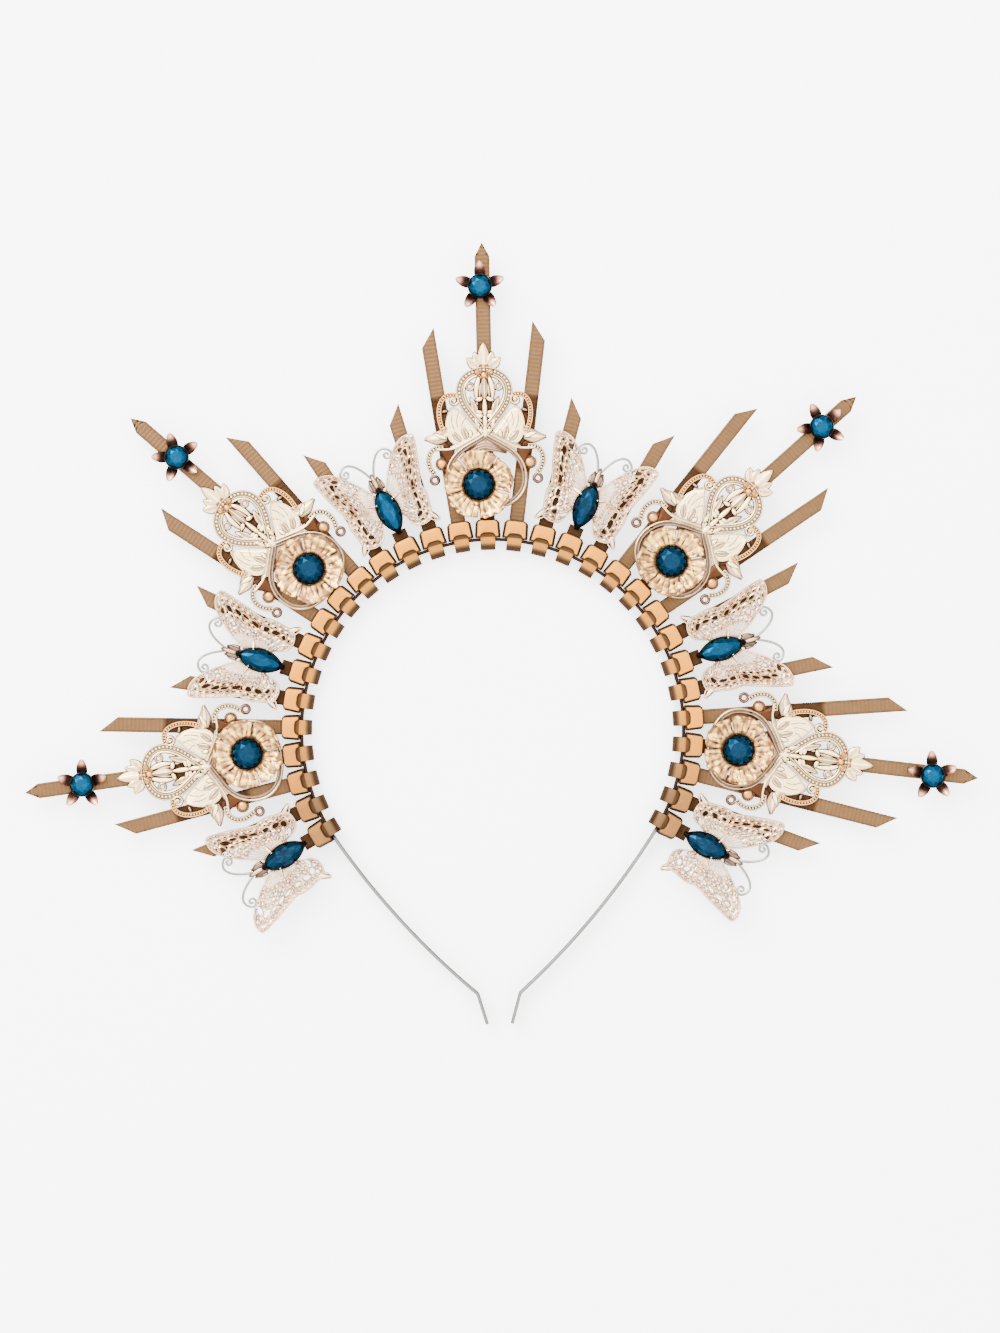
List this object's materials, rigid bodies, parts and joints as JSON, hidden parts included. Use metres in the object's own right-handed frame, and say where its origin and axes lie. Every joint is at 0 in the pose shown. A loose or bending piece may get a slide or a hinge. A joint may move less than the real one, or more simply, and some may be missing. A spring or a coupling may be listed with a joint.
{
  "type": "halo crown",
  "caption": "Halo crown on a thin bent headband: flat rays of cable-tie tails stand out all round, with pierced ornaments, butterflies, stars and blue stones set on them.",
  "frame": {"origin": "middle of the whole outline, on the plane that the crown rests on", "axes": "+Y to the top of the crown, +X to its right as the wearer's front is seen, +Z out of its decorated front"},
  "size_m": [0.3054, 0.2506, 0.0141],
  "materials": {
    "steel": "plain grey steel strip",
    "tie_plastic": "nylon painted copper, satin, with fine cross ridges on the tail",
    "filigree_metal": "cast metal plated pale rose gold",
    "flower_metal": "stamped petals, champagne gold, with a dark cup",
    "star_metal": "pink-copper petals, dark towards the cup",
    "wing_metal": "fine pierced metal plated silver rose, with a dark cup",
    "blue_glass": "faceted deep teal-blue glass, foiled back"
  },
  "bodies": {
    "root": {"headband": "steel", "plain_ties": "tie_plastic", "star_stones": "blue_glass", "ray_tie_01": "tie_plastic", "ray_tie_02": "tie_plastic", "ray_tie_03": "tie_plastic", "ray_tie_04": "tie_plastic", "ray_tie_05": "tie_plastic", "ray_tie_06": "tie_plastic", "ray_tie_07": "tie_plastic", "ray_tie_08": "tie_plastic", "ray_tie_09": "tie_plastic", "ray_tie_10": "tie_plastic", "ray_tie_11": "tie_plastic", "ray_tie_12": "tie_plastic", "ray_tie_13": "tie_plastic", "ray_tie_14": "tie_plastic", "ray_tie_15": "tie_plastic", "ray_tie_16": "tie_plastic", "ray_tie_17": "tie_plastic", "ray_tie_18": "tie_plastic", "ray_tie_19": "tie_plastic", "ray_tie_20": "tie_plastic", "ray_tie_21": "tie_plastic", "ray_tie_22": "tie_plastic", "ray_tie_23": "tie_plastic", "ray_tie_24": "tie_plastic", "ray_tie_25": "tie_plastic", "filigree_1": "filigree_metal", "flower_setting_1": "flower_metal", "round_stone_1": "blue_glass", "star_setting_1": "star_metal", "filigree_2": "filigree_metal", "flower_setting_2": "flower_metal", "round_stone_2": "blue_glass", "star_setting_2": "star_metal", "filigree_3": "filigree_metal", "flower_setting_3": "flower_metal", "round_stone_3": "blue_glass", "star_setting_3": "star_metal", "filigree_4": "filigree_metal", "flower_setting_4": "flower_metal", "round_stone_4": "blue_glass", "star_setting_4": "star_metal", "filigree_5": "filigree_metal", "flower_setting_5": "flower_metal", "round_stone_5": "blue_glass", "star_setting_5": "star_metal", "butterfly_1": "wing_metal", "navette_stone_1": "blue_glass", "butterfly_2": "wing_metal", "navette_stone_2": "blue_glass", "butterfly_3": "wing_metal", "navette_stone_3": "blue_glass", "butterfly_4": "wing_metal", "navette_stone_4": "blue_glass", "butterfly_5": "wing_metal", "navette_stone_5": "blue_glass", "butterfly_6": "wing_metal", "navette_stone_6": "blue_glass"}
  },
  "joints": []
}
